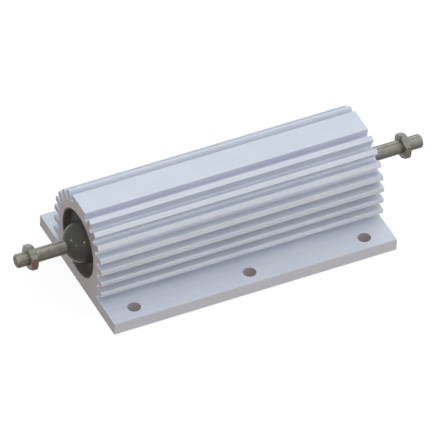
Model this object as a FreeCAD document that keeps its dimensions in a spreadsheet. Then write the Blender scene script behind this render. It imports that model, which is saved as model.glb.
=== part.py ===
import FreeCAD, Part
import Sketcher
import math
import os

# Aluminium housed resistor, 300 W size.
# +X runs along the bore, +Z up, and the origin is at the centre of the foot's underside.

# Driving dimensions in millimetres and degrees, one word each.
SIZES = {
    # the extruded housing
    "housing_length": 128.0,
    "base_width": 72.5,
    "foot_thickness": 5.5,
    "axis_height": 20.3,
    "bore_diameter": 30.2,
    "bore_wall": 3.23,
    "top_trim": 1.53,
    # its cooling fins
    "fin_depth": 4.5,
    "fan_slot_width": 3.25,
    "fan_slot_floor_width": 1.9,
    "fan_slot_first_angle": 20.3,
    "fan_slot_last_angle": 78.7,
    "fan_slot_count": 5,
    "side_slot_height": 3.4,
    "side_slot_step": 5.8,
    "side_slot_count": 2,
    "fin_tip_round": 0.5,
    "slot_floor_round": 0.8,
    # the mounting holes
    "hole_diameter": 5.6,
    "hole_edge_distance": 6.5,
    "hole_end_distance": 11.8,
    "holes_per_foot": 3,
    # the terminals
    "stud_reach": 28.0,
    "stud_diameter": 6.0,
    "stud_tip_chamfer": 0.6,
    "stud_head_diameter": 11.0,
    "stud_head_thickness": 2.0,
    "nut_across_flats": 10.0,
    "nut_thickness": 3.2,
    "nut_chamfer_diameter": 9.6,
    "nut_chamfer_angle": 30.0,
    "nut_clearance": 0.05,
    "left_nut_setback": 5.1,
    "right_nut_setback": 6.5,
    "left_nut_turn": 0.0,
    "right_nut_turn": 0.0,
    # the wound element inside
    "core_inset": 14.0,
    "core_diameter": 20.0,
    "core_bore": 10.0,
    "cap_wall": 0.8,
    "cap_depth": 8.0,
    "cap_clearance": 0.05,
    "winding_thickness": 0.6,
    "winding_clearance": 0.05,
    # the moulding round it
    "moulding_clearance": 0.05,
    "element_clearance": 0.1,
    "moulding_rim_inset": 0.3,
    "moulding_rim_wall": 0.6,
    "moulding_recess": 3.2,
    "nose_radius": 9.2,
    "nose_inset": 2.8,
    # how far a cut's outline runs past the solid
    "cut_margin": 2.0,
}

# Lengths that several sub-parts share, each a sum over the sizes.
AXIS = "sizes.axis_height"
FIN_ROOT = "(sizes.bore_diameter / 2 + sizes.bore_wall)"
FIN_TIP = "(sizes.bore_diameter / 2 + sizes.bore_wall + sizes.fin_depth)"
STUD_TIP = "(sizes.housing_length / 2 + sizes.stud_reach)"
CORE_END = "(sizes.housing_length / 2 - sizes.core_inset)"
CORE_RADIUS = "(sizes.core_diameter / 2)"
CAP_FACE = "(%s + sizes.cap_wall)" % CORE_END
CAP_RIM = "(%s - sizes.cap_depth)" % CORE_END
CAP_RADIUS = "(%s + sizes.cap_clearance + sizes.cap_wall)" % CORE_RADIUS
HEAD_FACE = "(%s + sizes.stud_head_thickness)" % CAP_FACE

doc = FreeCAD.newDocument("housed_resistor")
sheet = doc.addObject("Spreadsheet::Sheet", "sizes")
for row, (alias, value) in enumerate(SIZES.items(), start=1):
    sheet.set("A%d" % row, alias)
    sheet.set("B%d" % row, str(value))
    sheet.setAlias("B%d" % row, alias)
doc.recompute()


def new_body(label):
    """An empty body whose label names the sub-part."""
    body = doc.addObject("PartDesign::Body", label)
    body.Label = label
    return body


def origin_plane(body, role):
    """The body's own origin plane with this role, such as XY_Plane."""
    return next(item for item in body.Origin.OriginFeatures if item.Role == role)


def new_sketch(body, name, role):
    """A sketch laid flat on one of the body's own origin planes."""
    sketch = body.newObject("Sketcher::SketchObject", name)
    sketch.AttachmentSupport = [(origin_plane(body, role), "")]
    sketch.MapMode = "FlatFace"
    return sketch


def value_of(expression):
    """The number that an expression over the sheet gives now."""
    result = doc.sizes.evalExpression(expression)
    return float(getattr(result, "Value", result))


def place(sketch, geometry, position, expression, kind):
    """Holds one coordinate of a point: on the axis for 0, else at a bound distance from it."""
    if expression == "0":
        axis = -2 if kind == "DistanceX" else -1
        sketch.addConstraint(Sketcher.Constraint("PointOnObject", geometry, position, axis))
        return
    ends = (-1, 1, geometry, position)
    if expression.startswith("-"):
        ends = (geometry, position, -1, 1)
        expression = expression[1:]
    index = sketch.addConstraint(Sketcher.Constraint(kind, *ends, value_of(expression)))
    sketch.setExpression("Constraints[%d]" % index, expression)


def closed_outline(sketch, corners):
    """Draws a closed outline from corners (x, y) or (x, y, centre), all expressions.

    A centre makes the edge that leaves its corner an arc. A coordinate that begins with ~ is
    settled by an arc, and only starts there. Corners that share an expression are held level or
    upright with each other, so each distance is bound once.
    """
    def start(x, y):
        return FreeCAD.Vector(value_of(x.lstrip("~")), value_of(y.lstrip("~")), 0)

    count = len(corners)
    points = [start(*corner[:2]) for corner in corners]
    ends = []
    placed = []
    for number, corner in enumerate(corners):
        first, last = points[number], points[(number + 1) % count]
        if len(corner) == 2:
            geometry = sketch.addGeometry(Part.LineSegment(first, last), False)
            ends.append((geometry, 1, 2))
        else:
            centre = start(*corner[2])
            spoke, other = first - centre, last - centre
            from_angle, to_angle = math.atan2(spoke.y, spoke.x), math.atan2(other.y, other.x)
            turns_left = spoke.cross(other).z > 0
            circle = Part.Circle(centre, FreeCAD.Vector(0, 0, 1), spoke.Length)
            span = (from_angle, to_angle) if turns_left else (to_angle, from_angle)
            geometry = sketch.addGeometry(Part.ArcOfCircle(circle, *span), False)
            ends.append((geometry, 1, 2) if turns_left else (geometry, 2, 1))
            placed.append((geometry, 3, corner[2]))
        placed.append((geometry, ends[-1][1], corner[:2]))
    for number in range(count):
        geometry, _, tail = ends[number]
        following, head, _ = ends[(number + 1) % count]
        sketch.addConstraint(Sketcher.Constraint("Coincident", geometry, tail, following, head))
    for side, kind, alignment in ((0, "DistanceX", "Vertical"), (1, "DistanceY", "Horizontal")):
        settled = {}
        for geometry, position, pair in placed:
            text = pair[side]
            if text.startswith("~"):
                continue
            if text in settled and text != "0":
                sketch.addConstraint(
                    Sketcher.Constraint(alignment, *settled[text], geometry, position))
                continue
            place(sketch, geometry, position, text, kind)
            settled[text] = (geometry, position)


def slot_outline(sketch, widths, floor, mouth, top, floor_round, lip_round, lips=(True, True)):
    """A slot along local +Y with rounded floor corners, and a rounded lip on the sides asked for.

    It is drawn up to top, past its mouth. widths gives its width at the floor and at the mouth,
    and lips says whether the -X and the +X side have one.
    """
    floor_width, width = widths
    floor_half = "(%s / 2)" % floor_width
    half = "(%s / 2)" % width
    inner = "(%s / 2 - %s)" % (floor_width, floor_round)
    outer = "(%s / 2 + %s)" % (width, lip_round)
    bend = "(%s + %s)" % (floor, floor_round)
    lip = "(%s - %s)" % (mouth, lip_round)
    rising = [(inner, "~" + floor, (inner, bend)), (floor_half, bend)]
    if lips[1]:
        rising += [(half, lip, (outer, lip)), (outer, "~" + mouth), (outer, top)]
    else:
        rising += [(half, top)]
    if lips[0]:
        falling = [("-" + outer, top)]
        falling += [("-" + outer, "~" + mouth, ("-" + outer, lip)), ("-" + half, lip)]
    else:
        falling = [("-" + half, top)]
    falling += [("-" + floor_half, bend, ("-" + inner, bend)), ("-" + inner, "~" + floor)]
    closed_outline(sketch, rising + falling)


def symmetric_pad(body, sketch, length):
    """Extrudes the sketch by half the length to each side of its plane."""
    pad = body.newObject("PartDesign::Pad", sketch.Name + "_pad")
    pad.Profile = sketch
    pad.SideType = "Symmetric"
    pad.setExpression("Length", length)
    return pad


def through_pocket(body, sketch, length):
    """Cuts the sketch through the body, to both sides of its plane."""
    pocket = body.newObject("PartDesign::Pocket", sketch.Name + "_cut")
    pocket.Profile = sketch
    pocket.SideType = "Symmetric"
    pocket.setExpression("Length", length)
    return pocket


def revolved(body, sketch):
    """Turns the sketch about its horizontal axis."""
    turned = body.newObject("PartDesign::Revolution", sketch.Name + "_turned")
    turned.Profile = sketch
    turned.ReferenceAxis = (sketch, ["H_Axis"])
    turned.Angle = 360
    return turned


def bound_circle(sketch, x, y, radius):
    """A circle whose centre and radius are bound to the sheet."""
    circle = Part.Circle(FreeCAD.Vector(value_of(x), value_of(y), 0), FreeCAD.Vector(0, 0, 1),
                         value_of(radius))
    geometry = sketch.addGeometry(circle, False)
    place(sketch, geometry, 3, x, "DistanceX")
    place(sketch, geometry, 3, y, "DistanceY")
    index = sketch.addConstraint(Sketcher.Constraint("Radius", geometry, value_of(radius)))
    sketch.setExpression("Constraints[%d]" % index, radius)


def bound_hexagon(sketch, corner_radius):
    """A regular hexagon round the origin, with one corner straight up."""
    guide = Part.Circle(FreeCAD.Vector(0, 0, 0), FreeCAD.Vector(0, 0, 1), value_of(corner_radius))
    ring = sketch.addGeometry(guide, True)
    sketch.addConstraint(Sketcher.Constraint("Coincident", ring, 3, -1, 1))
    index = sketch.addConstraint(Sketcher.Constraint("Radius", ring, value_of(corner_radius)))
    sketch.setExpression("Constraints[%d]" % index, corner_radius)
    corners = []
    for number in range(6):
        angle = math.radians(90 + 60 * number)
        corners.append(FreeCAD.Vector(math.cos(angle), math.sin(angle), 0) * value_of(corner_radius))
    edges = []
    for number in range(6):
        edge = Part.LineSegment(corners[number], corners[(number + 1) % 6])
        edges.append(sketch.addGeometry(edge, False))
    for number in range(6):
        following = edges[(number + 1) % 6]
        sketch.addConstraint(Sketcher.Constraint("Coincident", edges[number], 2, following, 1))
        sketch.addConstraint(Sketcher.Constraint("PointOnObject", edges[number], 1, ring))
    for edge in edges[1:]:
        sketch.addConstraint(Sketcher.Constraint("Equal", edges[0], edge))
    sketch.addConstraint(Sketcher.Constraint("PointOnObject", edges[0], 1, -2))


def turn_clockwise(sketch, angle):
    """Turns a sketch clockwise in its plane by an angle bound to the sheet."""
    clockwise = FreeCAD.Rotation(FreeCAD.Vector(0, 0, -1), 1)
    sketch.AttachmentOffset = FreeCAD.Placement(FreeCAD.Vector(0, 0, 0), clockwise)
    sketch.setExpression("AttachmentOffset.Rotation.Angle", angle)


def new_pattern(body, kind, name, step, count):
    """A pattern for a multiple cut, with its step and count bound to the sheet."""
    pattern = doc.addObject("PartDesign::" + kind, name)
    body.addObject(pattern)
    pattern.Mode = "Spacing"
    pattern.Reversed = True
    pattern.setExpression("Offset", step)
    pattern.setExpression("Occurrences", count)
    return pattern


def on_axis(body, side=1, distance=None):
    """Puts a body on the bore's axis, turned to face left where side is -1."""
    half_turn = FreeCAD.Rotation(FreeCAD.Vector(0, 0, 1), 0 if side > 0 else 180)
    body.Placement = FreeCAD.Placement(FreeCAD.Vector(0, 0, 0), half_turn)
    body.setExpression("Placement.Base.z", AXIS)
    if distance:
        body.setExpression("Placement.Base.x", distance if side > 0 else "-" + distance)


def mirror_across(body, originals, role, name):
    """Repeats features on the other side of one of the body's origin planes."""
    mirrored = body.newObject("PartDesign::Mirrored", name)
    mirrored.Originals = originals
    mirrored.MirrorPlane = (origin_plane(body, role), [""])
    body.Tip = mirrored


def repeat_and_mirror(body, original, pattern, role, name):
    """Repeats one cut by a pattern, then the whole row on the other side of the body."""
    multiple = body.newObject("PartDesign::MultiTransform", name)
    multiple.Originals = [original]
    mirrored = doc.addObject("PartDesign::Mirrored", name + "_mirror")
    mirrored.MirrorPlane = (origin_plane(body, role), [""])
    body.addObject(mirrored)
    multiple.Transformations = [pattern, mirrored]
    body.Tip = multiple


# The housing is one extrusion: a finned outline with its bore and holes cut from it.
def make_housing():
    body = new_body("housing")
    along = "sizes.housing_length"
    half_base = "(sizes.base_width / 2)"
    foot = "sizes.foot_thickness"
    top = "(%s + %s - sizes.top_trim)" % (AXIS, FIN_TIP)
    half_top = "sqrt(%s ^ 2 - (%s - sizes.top_trim) ^ 2)" % (FIN_TIP, FIN_TIP)

    outline = new_sketch(body, "housing_outline", "YZ_Plane")
    closed_outline(outline, [
        ("-" + half_base, "0"),
        (half_base, "0"),
        (half_base, foot),
        (FIN_TIP, foot),
        (FIN_TIP, AXIS, ("0", AXIS)),
        ("~" + half_top, top),
        ("~-" + half_top, top, ("0", AXIS)),
        ("-" + FIN_TIP, AXIS),
        ("-" + FIN_TIP, foot),
        ("-" + half_base, foot),
    ])
    symmetric_pad(body, outline, along)

    bore = new_sketch(body, "bore_circle", "YZ_Plane")
    bound_circle(bore, "0", AXIS, "sizes.bore_diameter / 2")
    through_pocket(body, bore, along)

    fan_slot = new_sketch(body, "fan_slot", "YZ_Plane")
    turn_clockwise(fan_slot, "sizes.fan_slot_first_angle")
    fan_slot.setExpression("AttachmentOffset.Base.y", AXIS)
    slot_outline(fan_slot, ("sizes.fan_slot_floor_width", "sizes.fan_slot_width"), FIN_ROOT,
                 FIN_TIP, "(%s + sizes.cut_margin)" % FIN_TIP, "sizes.slot_floor_round",
                 "sizes.fin_tip_round")
    fan_cut = through_pocket(body, fan_slot, along)
    fan_span = "(sizes.fan_slot_last_angle - sizes.fan_slot_first_angle)"
    fan = new_pattern(body, "PolarPattern", "fan_of_slots",
                      fan_span + " / (sizes.fan_slot_count - 1)", "sizes.fan_slot_count")
    fan.Axis = (fan_slot, ["N_Axis"])
    repeat_and_mirror(body, fan_cut, fan, "XZ_Plane", "both_fans")

    # The lowest slot has the foot for its floor, so its lower side has no lip.
    slot_height = "sizes.side_slot_height"
    slot_end = "(sizes.base_width / 2 + sizes.cut_margin)"
    foot_slot = new_sketch(body, "foot_slot", "YZ_Plane")
    turn_clockwise(foot_slot, "90")
    foot_slot.setExpression("AttachmentOffset.Base.y", foot + " + " + slot_height + " / 2")
    slot_outline(foot_slot, (slot_height, slot_height), FIN_ROOT, FIN_TIP, slot_end,
                 "sizes.slot_floor_round", "sizes.fin_tip_round", (True, False))
    foot_cut = through_pocket(body, foot_slot, along)
    mirror_across(body, [foot_cut], "XZ_Plane", "foot_slot_pair")

    side_slot = new_sketch(body, "side_slot", "YZ_Plane")
    turn_clockwise(side_slot, "90")
    side_slot.setExpression("AttachmentOffset.Base.y",
                            foot + " + " + slot_height + " / 2 + sizes.side_slot_step")
    slot_outline(side_slot, (slot_height, slot_height), FIN_ROOT, FIN_TIP, slot_end,
                 "sizes.slot_floor_round", "sizes.fin_tip_round")
    side_cut = through_pocket(body, side_slot, along)
    row = new_pattern(body, "LinearPattern", "row_of_side_slots", "sizes.side_slot_step",
                      "sizes.side_slot_count")
    row.Direction = (side_slot, ["H_Axis"])
    repeat_and_mirror(body, side_cut, row, "XZ_Plane", "both_side_rows")

    # The mounting holes stand in one row along each foot.
    first_hole = "(sizes.housing_length / 2 - sizes.hole_end_distance)"
    hole_row = "(sizes.base_width / 2 - sizes.hole_edge_distance)"
    hole = new_sketch(body, "mounting_hole", "XY_Plane")
    bound_circle(hole, "-" + first_hole, "-" + hole_row, "sizes.hole_diameter / 2")
    hole_cut = through_pocket(body, hole, "2 * sizes.foot_thickness + sizes.cut_margin")
    holes = new_pattern(body, "LinearPattern", "row_of_holes",
                        "2 * " + first_hole + " / (sizes.holes_per_foot - 1)",
                        "sizes.holes_per_foot")
    holes.Direction = (hole, ["H_Axis"])
    holes.Reversed = False
    repeat_and_mirror(body, hole_cut, holes, "XZ_Plane", "both_hole_rows")


# The dark moulding lines the bore and fills it round the element. Each end is a recess with a
# round nose in it, from which the stud comes out.
def make_moulding():
    body = new_body("moulding")
    radius = "(sizes.bore_diameter / 2 - sizes.moulding_clearance)"
    rim = "(sizes.housing_length / 2 - sizes.moulding_rim_inset)"
    recess = "(sizes.housing_length / 2 - sizes.moulding_recess)"
    inner = "(%s - sizes.moulding_rim_wall)" % radius
    dome = "(sizes.housing_length / 2 - sizes.nose_inset)"
    stud = "(sizes.stud_diameter / 2)"
    head = "(sizes.stud_head_diameter / 2 + sizes.element_clearance)"
    cap = "(%s + sizes.element_clearance)" % CAP_RADIUS
    nose = "(%s + sqrt(sizes.nose_radius ^ 2 - %s ^ 2))" % (dome, stud)
    profile = new_sketch(body, "moulding_profile", "XY_Plane")
    closed_outline(profile, [
        ("-" + HEAD_FACE, stud),
        ("~-" + nose, stud, ("-" + dome, "0")),
        ("-" + dome, "sizes.nose_radius"),
        ("-" + recess, "sizes.nose_radius"),
        ("-" + recess, inner),
        ("-" + rim, inner),
        ("-" + rim, radius),
        (rim, radius),
        (rim, inner),
        (recess, inner),
        (recess, "sizes.nose_radius"),
        (dome, "sizes.nose_radius", (dome, "0")),
        ("~" + nose, stud),
        (HEAD_FACE, stud),
        (HEAD_FACE, head),
        (CAP_FACE, head),
        (CAP_FACE, cap),
        ("-" + CAP_FACE, cap),
        ("-" + CAP_FACE, head),
        ("-" + HEAD_FACE, head),
    ])
    revolved(body, profile)
    on_axis(body)


# The ceramic core is a plain tube.
def make_core():
    body = new_body("ceramic_core")
    inner = "(sizes.core_bore / 2)"
    profile = new_sketch(body, "core_profile", "XY_Plane")
    closed_outline(profile, [
        ("-" + CORE_END, inner),
        (CORE_END, inner),
        (CORE_END, CORE_RADIUS),
        ("-" + CORE_END, CORE_RADIUS),
    ])
    revolved(body, profile)
    on_axis(body)


# The winding is the wound layer taken as one sleeve, which ends on the caps' rims.
def make_winding():
    body = new_body("resistance_winding")
    inner = "(%s + sizes.winding_clearance)" % CORE_RADIUS
    outer = "(%s + sizes.winding_clearance + sizes.winding_thickness)" % CORE_RADIUS
    profile = new_sketch(body, "winding_profile", "XY_Plane")
    closed_outline(profile, [
        ("-" + CAP_RIM, inner),
        (CAP_RIM, inner),
        (CAP_RIM, outer),
        ("-" + CAP_RIM, outer),
    ])
    revolved(body, profile)
    on_axis(body)


# An end cap is a shallow metal cup pressed over the core's end.
def make_end_cap(name, side):
    body = new_body(name)
    inner = "(%s + sizes.cap_clearance)" % CORE_RADIUS
    profile = new_sketch(body, name + "_profile", "XY_Plane")
    closed_outline(profile, [
        (CORE_END, "0"),
        (CAP_FACE, "0"),
        (CAP_FACE, CAP_RADIUS),
        (CAP_RIM, CAP_RADIUS),
        (CAP_RIM, inner),
        (CORE_END, inner),
    ])
    revolved(body, profile)
    on_axis(body, side)


# A terminal stud has a wide head welded to its cap, and a chamfered outer end.
def make_stud(name, side):
    body = new_body(name)
    chamfer_start = "(%s - sizes.stud_tip_chamfer)" % STUD_TIP
    radius = "(sizes.stud_diameter / 2)"
    tip_radius = "(sizes.stud_diameter / 2 - sizes.stud_tip_chamfer)"
    head = "(sizes.stud_head_diameter / 2)"
    profile = new_sketch(body, name + "_profile", "XY_Plane")
    closed_outline(profile, [
        (CAP_FACE, "0"),
        (STUD_TIP, "0"),
        (STUD_TIP, tip_radius),
        (chamfer_start, radius),
        (HEAD_FACE, radius),
        (HEAD_FACE, head),
        (CAP_FACE, head),
    ])
    revolved(body, profile)
    on_axis(body, side)


# A terminal nut is a thin hexagon with its corners chamfered on both faces.
def make_nut(name, side, setback, turn):
    body = new_body(name)
    corner = "(sizes.nut_across_flats / sqrt(3))"
    hexagon = new_sketch(body, name + "_hexagon", "YZ_Plane")
    turn_clockwise(hexagon, turn)
    bound_hexagon(hexagon, corner)
    bound_circle(hexagon, "0", "0", "sizes.stud_diameter / 2 + sizes.nut_clearance")
    symmetric_pad(body, hexagon, "sizes.nut_thickness")

    face = "(sizes.nut_thickness / 2)"
    ring = "(sizes.nut_chamfer_diameter / 2)"
    clear = "(sizes.nut_across_flats / sqrt(3) + sizes.cut_margin)"
    run_out = "(%s - (%s - %s) * tan(sizes.nut_chamfer_angle))" % (face, clear, ring)
    chamfer = new_sketch(body, name + "_chamfer", "XY_Plane")
    closed_outline(chamfer, [
        (face, ring),
        (face, clear),
        (run_out, clear),
    ])
    cut = body.newObject("PartDesign::Groove", name + "_chamfer_cut")
    cut.Profile = chamfer
    cut.ReferenceAxis = (chamfer, ["H_Axis"])
    cut.Angle = 360
    mirror_across(body, [cut], "YZ_Plane", name + "_both_chamfers")
    centre = "(%s - %s - sizes.nut_thickness / 2)" % (STUD_TIP, setback)
    on_axis(body, side, centre)


make_housing()
make_moulding()
make_core()
make_winding()
for name, side in (("left", -1), ("right", 1)):
    make_end_cap("end_cap_" + name, side)
    make_stud("terminal_stud_" + name, side)
    make_nut("terminal_nut_" + name, side, "sizes.%s_nut_setback" % name, "sizes.%s_nut_turn" % name)
doc.recompute()

# Nothing is written unless every object is sound.
for item in doc.Objects:
    if "Invalid" in item.State or "Error" in item.State:
        raise RuntimeError("%s failed: %s" % (item.Name, item.State))
bodies = [item for item in doc.Objects if item.isDerivedFrom("PartDesign::Body")]
for body in bodies:
    if body.Shape.isNull() or not body.Shape.isValid() or len(body.Shape.Solids) != 1:
        raise RuntimeError("%s is not one valid solid" % body.Label)

os.makedirs("parts", exist_ok=True)
for body in bodies:
    body.Shape.exportStep("parts/%s.step" % body.Label)
    box = body.Shape.BoundBox
    print("%-22s %10.1f mm3  x %7.2f %7.2f  y %7.2f %7.2f  z %6.2f %6.2f" % (
        body.Label, body.Shape.Volume, box.XMin, box.XMax, box.YMin, box.YMax, box.ZMin, box.ZMax))
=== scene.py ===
import math

import bpy
from mathutils import Matrix, Vector

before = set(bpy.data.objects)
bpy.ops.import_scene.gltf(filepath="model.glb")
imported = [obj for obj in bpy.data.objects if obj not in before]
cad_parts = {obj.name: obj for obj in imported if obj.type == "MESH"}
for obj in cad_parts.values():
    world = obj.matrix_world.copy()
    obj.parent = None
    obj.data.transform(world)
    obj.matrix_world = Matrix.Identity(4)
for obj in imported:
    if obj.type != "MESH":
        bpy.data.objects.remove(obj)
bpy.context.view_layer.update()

# The photograph's view: a long lens from the left, the front and above, rolled a little.
VIEW_AZIMUTH = math.radians(26.71)
VIEW_ELEVATION = math.radians(42.25)
VIEW_ROLL = math.radians(2.0)
VIEW_DISTANCE = 5.006
VIEW_CENTRE = Vector((-0.00446, -0.01006, 0.01957))
LENS_MM = 1000
SENSOR_MM = 36
CLIP_START = 0.1
CLIP_END = 50

# Places on the part, in metres. A pair says where a mask starts and where it ends.
BORE_AXIS_HEIGHT = 0.0203
HOLE_ROW = 0.02975
HOLE_BAND = (0.0029, 0.0031)
BESIDE_HOLE_BAND = (0.0031, 0.0034)
# Where the painted shade on the foot's outer edge begins.
FOOT_EDGE = (0.0358, 0.0361)
NOSE_EDGE = (0.0089, 0.0094)
# Where the painted brown on the studs and nuts fades, from left to right.
BROWNER_TO_LEFT_SPAN = (-0.07, 0.07)

# The same for how squarely a face looks along an axis.
CUT_FACE = (0.9, 0.97)
UPRIGHT_FACE = (0.3, 0.6)
RECESS_WALL = (0.2, 0.8)

# The part of a pattern's values that makes its contrast.
NOISE_RANGE = (0.3, 0.7)
LINES_RANGE = (0.35, 0.65)
STREAK_RANGE = (0.50, 0.75)

# Scales along X, Y and Z of the patterns that are drawn out into lines.
DIE_LINES = (4, 2600, 2600)
SAW_LINES = (900, 260, 3200)
DRAWN_LINES = (20, 1600, 1600)

# How much of a second pattern is added to a first one.
GRAIN_ON_ALUMINIUM = 0.35
CLOUD_ON_ALUMINIUM = 0.5
GRAIN_ON_STEEL = 0.3
CLOUD_ON_STEEL = 0.3

# How much darker or paler a die line is than the rest.
LINE_SHADES = (0.94, 1.03)

# Roughness, from a pattern's low values to its high ones.
ALUMINIUM_ROUGHNESS = (0.40, 0.52)
NOSE_ROUGHNESS = (0.07, 0.12)
MORE_IN_RECESS = 0.45
STEEL_ROUGHNESS = (0.46, 0.34)

# The housing's edges: their rounding, and how far a rounded normal turns from the true one there.
EDGE_RADIUS = 0.00018
EDGE_TURN = (0.9, 0.999)
# How pale the edges grow: partly rubbed wear, partly a painted highlight.
EDGE_WEAR_AND_HIGHLIGHT = 0.5
# How much of the darker sawn colour lies on the foot's outer edge, as painted shade.
FOOT_EDGE_SHADE = 0.2

# Colours of the housing, moulding and wire. A pair holds two shades that a pattern mixes.
ANODISED = ((0.655, 0.685, 0.775), (0.700, 0.725, 0.805))
# The sawn and drilled metal's colour, made darker and warmer as painted shade on the end faces.
SAWN_METAL_AND_SHADE = ((0.470, 0.425, 0.440), (0.535, 0.490, 0.500))
# Paler edges: partly rubbed wear, partly a painted highlight.
RUBBED_EDGE_AND_HIGHLIGHT = (0.82, 0.84, 0.90)
NOSE_SHADES = ((0.088, 0.087, 0.079), (0.124, 0.123, 0.111))
# The recess's colours: painted light and shade on its floor, painted light on its side wall.
RECESS_FLOOR_PAINTED_SHADING = ((0.135, 0.124, 0.112), (0.195, 0.178, 0.160))
RECESS_WALL_PAINTED_LIGHT = ((0.190, 0.165, 0.148), (0.255, 0.222, 0.198))
WIRE_SHADES = ((0.20, 0.19, 0.17), (0.46, 0.44, 0.40))

# The ground under the part, and what it sends back.
GROUND_REACH = 30
GROUND_DROP = 0.0004
GROUND_SEEN = (0.15, 0.15, 0.15, 1)
GROUND_GLOW = 0.9
GROUND_WARM = (0.18, 0.105, 0.06, 1)
WHITE = (1, 1, 1, 1)

# Each lamp's direction from the part, and its power in watts.
LAMPS = (
    ((-0.958, 0.153, 0.240), 2.6),
    ((-0.895, -0.403, 0.193), 2.6),
    ((-0.372, -0.732, 0.571), 4.5),
)
LAMP_DISTANCE = 1.5
LAMP_SIZE = 0.2

# The sky's colour and level, and how they change towards +X, +Z and +Y.
SKY_COLOUR = (0.95, 0.995, 1.03)
SKY_LEVEL = 0.79
SKY_MORE_RIGHT = 0.52
SKY_MORE_UP = 0.25
SKY_MORE_BACK = (-0.17, -0.095, -0.02)


def add_camera():
    """The camera that looks at the object as the photograph does."""
    back = Vector((-math.sin(VIEW_AZIMUTH) * math.cos(VIEW_ELEVATION),
                   -math.cos(VIEW_AZIMUTH) * math.cos(VIEW_ELEVATION),
                   math.sin(VIEW_ELEVATION)))
    level = Vector((math.cos(VIEW_AZIMUTH), -math.sin(VIEW_AZIMUTH), 0))
    upright = back.cross(level)
    right = level * math.cos(VIEW_ROLL) + upright * math.sin(VIEW_ROLL)
    up = upright * math.cos(VIEW_ROLL) - level * math.sin(VIEW_ROLL)
    data = bpy.data.cameras.new("camera")
    data.lens = LENS_MM
    data.sensor_width = SENSOR_MM
    data.clip_start = CLIP_START
    data.clip_end = CLIP_END
    camera = bpy.data.objects.new("camera", data)
    bpy.context.scene.collection.objects.link(camera)
    turned = Matrix((right, up, back)).transposed().to_4x4()
    camera.matrix_world = Matrix.Translation(VIEW_CENTRE + back * VIEW_DISTANCE) @ turned
    bpy.context.scene.camera = camera


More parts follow.
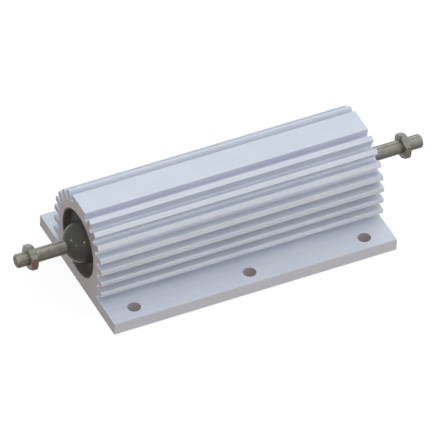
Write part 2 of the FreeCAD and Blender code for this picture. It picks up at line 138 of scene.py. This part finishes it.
class Nodes:
    """A short way to write a node tree."""

    def __init__(self, tree):
        self.tree = tree
        tree.nodes.clear()

    def put(self, socket, value):
        """Links a socket to another one, or sets it to a plain value."""
        if isinstance(value, bpy.types.NodeSocket):
            self.tree.links.new(value, socket)
        else:
            socket.default_value = value

    def add(self, kind, inputs=(), **settings):
        """A new node with its settings, and with its inputs linked or set."""
        node = self.tree.nodes.new(kind)
        for name, value in settings.items():
            setattr(node, name, value)
        for name, value in dict(inputs).items():
            self.put(node.inputs[name], value)
        return node

    def math(self, operation, *values):
        """A number from one, two or three numbers."""
        return self.add("ShaderNodeMath", dict(enumerate(values)), operation=operation).outputs[0]

    def vector_math(self, operation, first, second):
        """A vector from two vectors, or from a vector and the factor that scales it."""
        other = "Scale" if operation == "SCALE" else 1
        node = self.add("ShaderNodeVectorMath", {0: first, other: second}, operation=operation)
        return node.outputs["Vector"]

    def length(self, vector):
        """How long a vector is."""
        node = self.add("ShaderNodeVectorMath", {0: vector}, operation="LENGTH")
        return node.outputs["Value"]

    def part_of(self, vector, axis):
        """A vector's part along one axis."""
        return self.add("ShaderNodeSeparateXYZ", {0: vector}).outputs[axis]

    def place(self):
        """The object's own coordinates."""
        return self.add("ShaderNodeTexCoord").outputs["Object"]

    def facing(self, axis):
        """How squarely a face looks along one axis of the object, with its sign."""
        return self.part_of(self.add("ShaderNodeTexCoord").outputs["Normal"], axis)

    def cut_face(self):
        """One on faces that look along the length, such as cut ends, else zero."""
        return self.remap(self.math("ABSOLUTE", self.facing("X")), *CUT_FACE)

    def noise(self, coordinates, scale=1.0, detail=2.0, roughness=0.5, distortion=0.0):
        """A cloudy pattern, with most of its values near a half."""
        inputs = {"Vector": coordinates, "Scale": scale, "Detail": detail,
                  "Roughness": roughness, "Distortion": distortion}
        return self.add("ShaderNodeTexNoise", inputs).outputs["Fac"]

    def stretched_noise(self, coordinates, size, detail, roughness):
        """Noise with a scale of its own along each axis."""
        stretched = self.vector_math("MULTIPLY", coordinates, size)
        return self.noise(stretched, detail=detail, roughness=roughness)

    def remap(self, value, low, high, to_low=0.0, to_high=1.0):
        """The value carried from one range to another, and kept inside it."""
        inputs = {"Value": value, "From Min": low, "From Max": high,
                  "To Min": to_low, "To Max": to_high}
        return self.add("ShaderNodeMapRange", inputs, clamp=True).outputs[0]

    def fade(self, value, start, end):
        """One up to the start, zero from the end on."""
        return self.remap(value, start, end, 1.0, 0.0)

    def mix(self, amount, first, second):
        """A colour between two, each of them a socket or three numbers."""
        node = self.add("ShaderNodeMix", data_type="RGBA")
        wanted = {"Factor_Float": amount, "A_Color": first, "B_Color": second}
        for socket in node.inputs:
            if socket.identifier in wanted:
                value = wanted[socket.identifier]
                self.put(socket, (*value, 1) if isinstance(value, tuple) else value)
        return next(out for out in node.outputs if out.identifier == "Result_Color")

    def bump(self, height, strength, distance, normal=None):
        """A normal that follows a height, laid on the given normal or on the surface's own."""
        inputs = {"Height": height, "Strength": strength, "Distance": distance}
        if normal is not None:
            inputs["Normal"] = normal
        return self.add("ShaderNodeBump", inputs).outputs[0]

    def seen_directly(self):
        """One for rays of the camera and for mirrored and refracted ones, else zero."""
        path = self.add("ShaderNodeLightPath")
        seen = self.math("MAXIMUM", path.outputs["Is Camera Ray"], path.outputs["Is Glossy Ray"])
        return self.math("MAXIMUM", seen, path.outputs["Is Transmission Ray"])

    def either_shader(self, amount, first, second, output_kind):
        """The tree's result: the first shader, or the second where the amount is one."""
        both = self.add("ShaderNodeMixShader",
                        {0: amount, 1: first.outputs[0], 2: second.outputs[0]})
        self.put(self.add(output_kind).inputs["Surface"], both.outputs[0])

    def shader(self, **inputs):
        """A Principled surface, with each input's name written with underscores."""
        named = {name.replace("_", " "): value for name, value in inputs.items()}
        surface = self.add("ShaderNodeBsdfPrincipled", named)
        self.put(self.add("ShaderNodeOutputMaterial").inputs["Surface"], surface.outputs[0])


def new_material(name):
    """An empty material, and the writer of its node tree."""
    made = bpy.data.materials.new(name)
    made.use_nodes = True
    return made, Nodes(made.node_tree)


def anodised_aluminium():
    """Pale blue-grey with die lines along it, browner where it was sawn or drilled, that colour
    also painted shade on the end faces and a little on the foot's outer edge, and paler edges,
    partly rubbed and partly a painted highlight.
    """
    made, nodes = new_material("anodised_aluminium")
    place = nodes.place()
    from_middle = nodes.math("ABSOLUTE", nodes.part_of(place, "Y"))
    from_hole = nodes.math("ABSOLUTE", nodes.math("SUBTRACT", from_middle, HOLE_ROW))
    upright = nodes.fade(nodes.math("ABSOLUTE", nodes.facing("Z")), *UPRIGHT_FACE)
    drilled = nodes.math("MULTIPLY", upright, nodes.fade(from_hole, *HOLE_BAND))
    # Painted shade: a little of the darker sawn colour on the foot's outer edge.
    foot_edge_shade = nodes.remap(from_middle, *FOOT_EDGE, to_high=FOOT_EDGE_SHADE)
    cut = nodes.cut_face()
    bare_and_shade = nodes.math("MAXIMUM", nodes.math("MAXIMUM", cut, drilled), foot_edge_shade)
    rounded = nodes.add("ShaderNodeBevel", {"Radius": EDGE_RADIUS}, samples=6).outputs[0]
    true_normal = nodes.add("ShaderNodeNewGeometry").outputs["Normal"]
    turned = nodes.add("ShaderNodeVectorMath", {0: rounded, 1: true_normal},
                       operation="DOT_PRODUCT").outputs["Value"]
    # Paler edges, partly rubbed and partly a painted highlight, left out beside the holes.
    edge = nodes.math("MULTIPLY", nodes.fade(turned, *EDGE_TURN),
                      nodes.remap(from_hole, *BESIDE_HOLE_BAND, to_high=EDGE_WEAR_AND_HIGHLIGHT))

    die_lines = nodes.stretched_noise(place, DIE_LINES, detail=4.0, roughness=0.6)
    saw_lines = nodes.stretched_noise(place, SAW_LINES, detail=3.0, roughness=0.6)
    cloud = nodes.noise(place, scale=45.0, detail=3.0, roughness=0.55)
    grain = nodes.noise(place, scale=9000.0, roughness=0.6)

    cloudy = nodes.mix(nodes.remap(cloud, *NOISE_RANGE), *ANODISED)
    drawn = nodes.vector_math("SCALE", cloudy, nodes.remap(die_lines, *LINES_RANGE, *LINE_SHADES))
    # The sawn colour, darker as painted shade on the end faces.
    sawn_and_shade = nodes.mix(nodes.remap(saw_lines, *LINES_RANGE), *SAWN_METAL_AND_SHADE)
    colour = nodes.mix(edge, nodes.mix(bare_and_shade, drawn, sawn_and_shade), RUBBED_EDGE_AND_HIGHLIGHT)

    lines = nodes.mix(cut, die_lines, saw_lines)
    height = nodes.math("MULTIPLY_ADD", grain, GRAIN_ON_ALUMINIUM, lines)
    normal = nodes.bump(height, strength=0.25, distance=0.00002, normal=rounded)
    uneven = nodes.math("MULTIPLY_ADD", cloud, CLOUD_ON_ALUMINIUM, die_lines)
    rough = nodes.remap(uneven, 0.5, 1.0, *ALUMINIUM_ROUGHNESS)
    nodes.shader(Base_Color=colour, Metallic=0.15, Roughness=rough, Normal=normal)
    return made


def dark_moulding():
    """Dark and mottled, smooth on the round nose and duller in the recess round it, where light
    and shade are painted: a browner, paler floor and a paler side wall.
    """
    made, nodes = new_material("dark_moulding")
    place = nodes.place()
    from_axis = nodes.vector_math("SUBTRACT", place, (0, 0, BORE_AXIS_HEIGHT))
    across = nodes.length(nodes.vector_math("MULTIPLY", from_axis, (0, 1, 1)))
    recess = nodes.remap(across, *NOSE_EDGE)
    wall = nodes.fade(nodes.math("ABSOLUTE", nodes.facing("X")), *RECESS_WALL)
    blotch = nodes.noise(place, scale=160.0, detail=4.0, roughness=0.6, distortion=0.4)
    pits = nodes.noise(place, scale=1500.0, detail=3.0, roughness=0.6)
    patchy = nodes.remap(blotch, *NOISE_RANGE)
    # Painted light and shade in the recess: a browner floor and a paler side wall.
    floor_painted_shading = nodes.mix(patchy, *RECESS_FLOOR_PAINTED_SHADING)
    wall_painted_light = nodes.mix(patchy, *RECESS_WALL_PAINTED_LIGHT)
    recess_painted_shading = nodes.mix(wall, floor_painted_shading, wall_painted_light)
    colour = nodes.mix(recess, nodes.mix(patchy, *NOSE_SHADES), recess_painted_shading)
    smooth = nodes.remap(blotch, *NOISE_RANGE, *NOSE_ROUGHNESS)
    rough = nodes.math("MULTIPLY_ADD", recess, MORE_IN_RECESS, smooth)
    normal = nodes.bump(pits, strength=0.12, distance=0.00006)
    nodes.shader(Base_Color=colour, Roughness=rough, Normal=normal, Specular_IOR_Level=0.08)
    return made


def plated_metal(name, pale, dark, bare_and_shade, brown_bare_and_shade, shade_below_from, cut_amount):
    """Greenish grey plated steel, with painted shade and a painted brown reflection on faces that
    look sideways and down, darker on cut ends, and browner towards the left.
    """
    made, nodes = new_material(name)
    place = nodes.place()
    drawn = nodes.stretched_noise(place, DRAWN_LINES, detail=3.0, roughness=0.65)
    cloud = nodes.noise(place, scale=420.0, detail=3.0, roughness=0.6)
    grain = nodes.noise(place, scale=6000.0, roughness=0.6)
    streak = nodes.math("MULTIPLY_ADD", cloud, CLOUD_ON_STEEL, drawn)
    # Painted shade, with a painted brown reflection, on faces that look sideways and down.
    shade_below = nodes.remap(nodes.facing("Z"), shade_below_from, 0.0, to_high=0.9)
    cut = nodes.cut_face()
    side_shade = nodes.math("MULTIPLY", shade_below, nodes.math("SUBTRACT", 1.0, cut))
    shade_and_cut_ends = nodes.math("MULTIPLY_ADD", cut, cut_amount, side_shade)
    # The painted shade and the cut ends are browner towards the left.
    browner_to_left = nodes.fade(nodes.part_of(place, "X"), *BROWNER_TO_LEFT_SPAN)
    plated = nodes.mix(nodes.remap(streak, *STREAK_RANGE), dark, pale)
    colour = nodes.mix(shade_and_cut_ends, plated, nodes.mix(browner_to_left, bare_and_shade, brown_bare_and_shade))
    rough = nodes.remap(streak, 0.5, 0.9, *STEEL_ROUGHNESS)
    height = nodes.math("MULTIPLY_ADD", grain, GRAIN_ON_STEEL, drawn)
    normal = nodes.bump(height, strength=0.3, distance=0.00003)
    nodes.shader(Base_Color=colour, Metallic=0.5, Roughness=rough, Normal=normal)
    return made


def plain_inner(name, first, second, scale, metallic, roughness):
    """A mottled material for the pieces inside, seen only when the part is taken apart."""
    made, nodes = new_material(name)
    mottle = nodes.noise(nodes.place(), scale=scale, detail=4.0, roughness=0.6)
    colour = nodes.mix(nodes.remap(mottle, *NOISE_RANGE), first, second)
    normal = nodes.bump(mottle, strength=0.2, distance=0.00005)
    nodes.shader(Base_Color=colour, Metallic=metallic, Roughness=roughness, Normal=normal)
    return made


def wound_wire():
    """Fine turns of wire, side by side along the core."""
    made, nodes = new_material("resistance_wire")
    inputs = {"Vector": nodes.place(), "Scale": 250.0, "Distortion": 0.2}
    turns = nodes.add("ShaderNodeTexWave", inputs, wave_type="BANDS",
                      bands_direction="X").outputs["Fac"]
    normal = nodes.bump(turns, strength=0.8, distance=0.0002)
    nodes.shader(Base_Color=nodes.mix(turns, *WIRE_SHADES), Metallic=0.9, Roughness=0.35,
                 Normal=normal)
    return made


def give_materials():
    """Puts a material on every piece."""
    stud = plated_metal("stud_metal", pale=(0.46, 0.455, 0.40), dark=(0.175, 0.168, 0.14),
                        bare_and_shade=(0.090, 0.085, 0.075), brown_bare_and_shade=(0.085, 0.058, 0.042),
                        shade_below_from=1.05, cut_amount=1.0)
    nut = plated_metal("nut_metal", pale=(0.30, 0.315, 0.270), dark=(0.18, 0.19, 0.155),
                       bare_and_shade=(0.150, 0.130, 0.105), brown_bare_and_shade=(0.150, 0.075, 0.055),
                       shade_below_from=0.7, cut_amount=0.3)
    cap = plain_inner("cap_metal", (0.50, 0.49, 0.46), (0.62, 0.61, 0.58),
                      scale=700.0, metallic=0.9, roughness=0.35)
    ceramic = plain_inner("ceramic", (0.80, 0.78, 0.72), (0.88, 0.86, 0.80),
                          scale=900.0, metallic=0.0, roughness=0.75)
    by_node = {
        "housing": anodised_aluminium(),
        "moulding": dark_moulding(),
        "terminal_stud_left": stud,
        "terminal_stud_right": stud,
        "terminal_nut_left": nut,
        "terminal_nut_right": nut,
        "ceramic_core": ceramic,
        "resistance_winding": wound_wire(),
        "end_cap_left": cap,
        "end_cap_right": cap,
    }
    for name, made in by_node.items():
        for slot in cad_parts[name].material_slots:
            slot.material = made


def add_floor():
    """A white floor that keeps a faint shadow, and throws a warm light back on the object."""
    mesh = bpy.data.meshes.new("floor")
    corners = [(x * GROUND_REACH, y * GROUND_REACH, -GROUND_DROP)
               for x, y in ((-1, -1), (1, -1), (1, 1), (-1, 1))]
    mesh.from_pydata(corners, [], [(0, 1, 2, 3)])
    floor = bpy.data.objects.new("floor", mesh)
    bpy.context.scene.collection.objects.link(floor)
    made, nodes = new_material("floor")
    pale = nodes.add("ShaderNodeBsdfDiffuse", {"Color": GROUND_SEEN})
    glow = nodes.add("ShaderNodeEmission", {"Color": WHITE, "Strength": GROUND_GLOW})
    white = nodes.add("ShaderNodeAddShader", {0: pale.outputs[0], 1: glow.outputs[0]})
    warm = nodes.add("ShaderNodeBsdfDiffuse", {"Color": GROUND_WARM})
    nodes.either_shader(nodes.seen_directly(), warm, white, "ShaderNodeOutputMaterial")
    mesh.materials.append(made)


def add_lamps():
    """Small lamps to the left and in front, which show only as glints on shiny surfaces."""
    for number, (direction, power) in enumerate(LAMPS):
        data = bpy.data.lights.new("lamp_%d" % number, "AREA")
        data.shape = "DISK"
        data.size = LAMP_SIZE
        data.energy = power
        lamp = bpy.data.objects.new("lamp_%d" % number, data)
        bpy.context.scene.collection.objects.link(lamp)
        away = Vector(direction).normalized()
        lamp.location = away * LAMP_DISTANCE
        lamp.rotation_euler = away.to_track_quat("Z", "Y").to_euler()
        lamp.visible_diffuse = False


def light_world():
    """A plain sky, brighter to the right and warmer in front, and white where it is seen."""
    world = bpy.data.worlds.new("world")
    world.use_nodes = True
    bpy.context.scene.world = world
    nodes = Nodes(world.node_tree)
    direction = nodes.add("ShaderNodeTexCoord").outputs["Generated"]
    parts = nodes.add("ShaderNodeSeparateXYZ", {0: direction})
    level = nodes.math("MULTIPLY_ADD", parts.outputs["X"], SKY_MORE_RIGHT, SKY_LEVEL)
    level = nodes.math("MULTIPLY_ADD", parts.outputs["Z"], SKY_MORE_UP, level)
    sky = nodes.vector_math("ADD", nodes.vector_math("SCALE", SKY_COLOUR, level),
                            nodes.vector_math("SCALE", SKY_MORE_BACK, parts.outputs["Y"]))
    light = nodes.add("ShaderNodeBackground", {"Color": sky, "Strength": 1.0})
    white = nodes.add("ShaderNodeBackground", {"Color": WHITE, "Strength": 1.0})
    nodes.either_shader(nodes.seen_directly(), light, white, "ShaderNodeOutputWorld")


add_camera()
give_materials()
add_floor()
add_lamps()
light_world()
bpy.context.scene.view_settings.view_transform = "Standard"
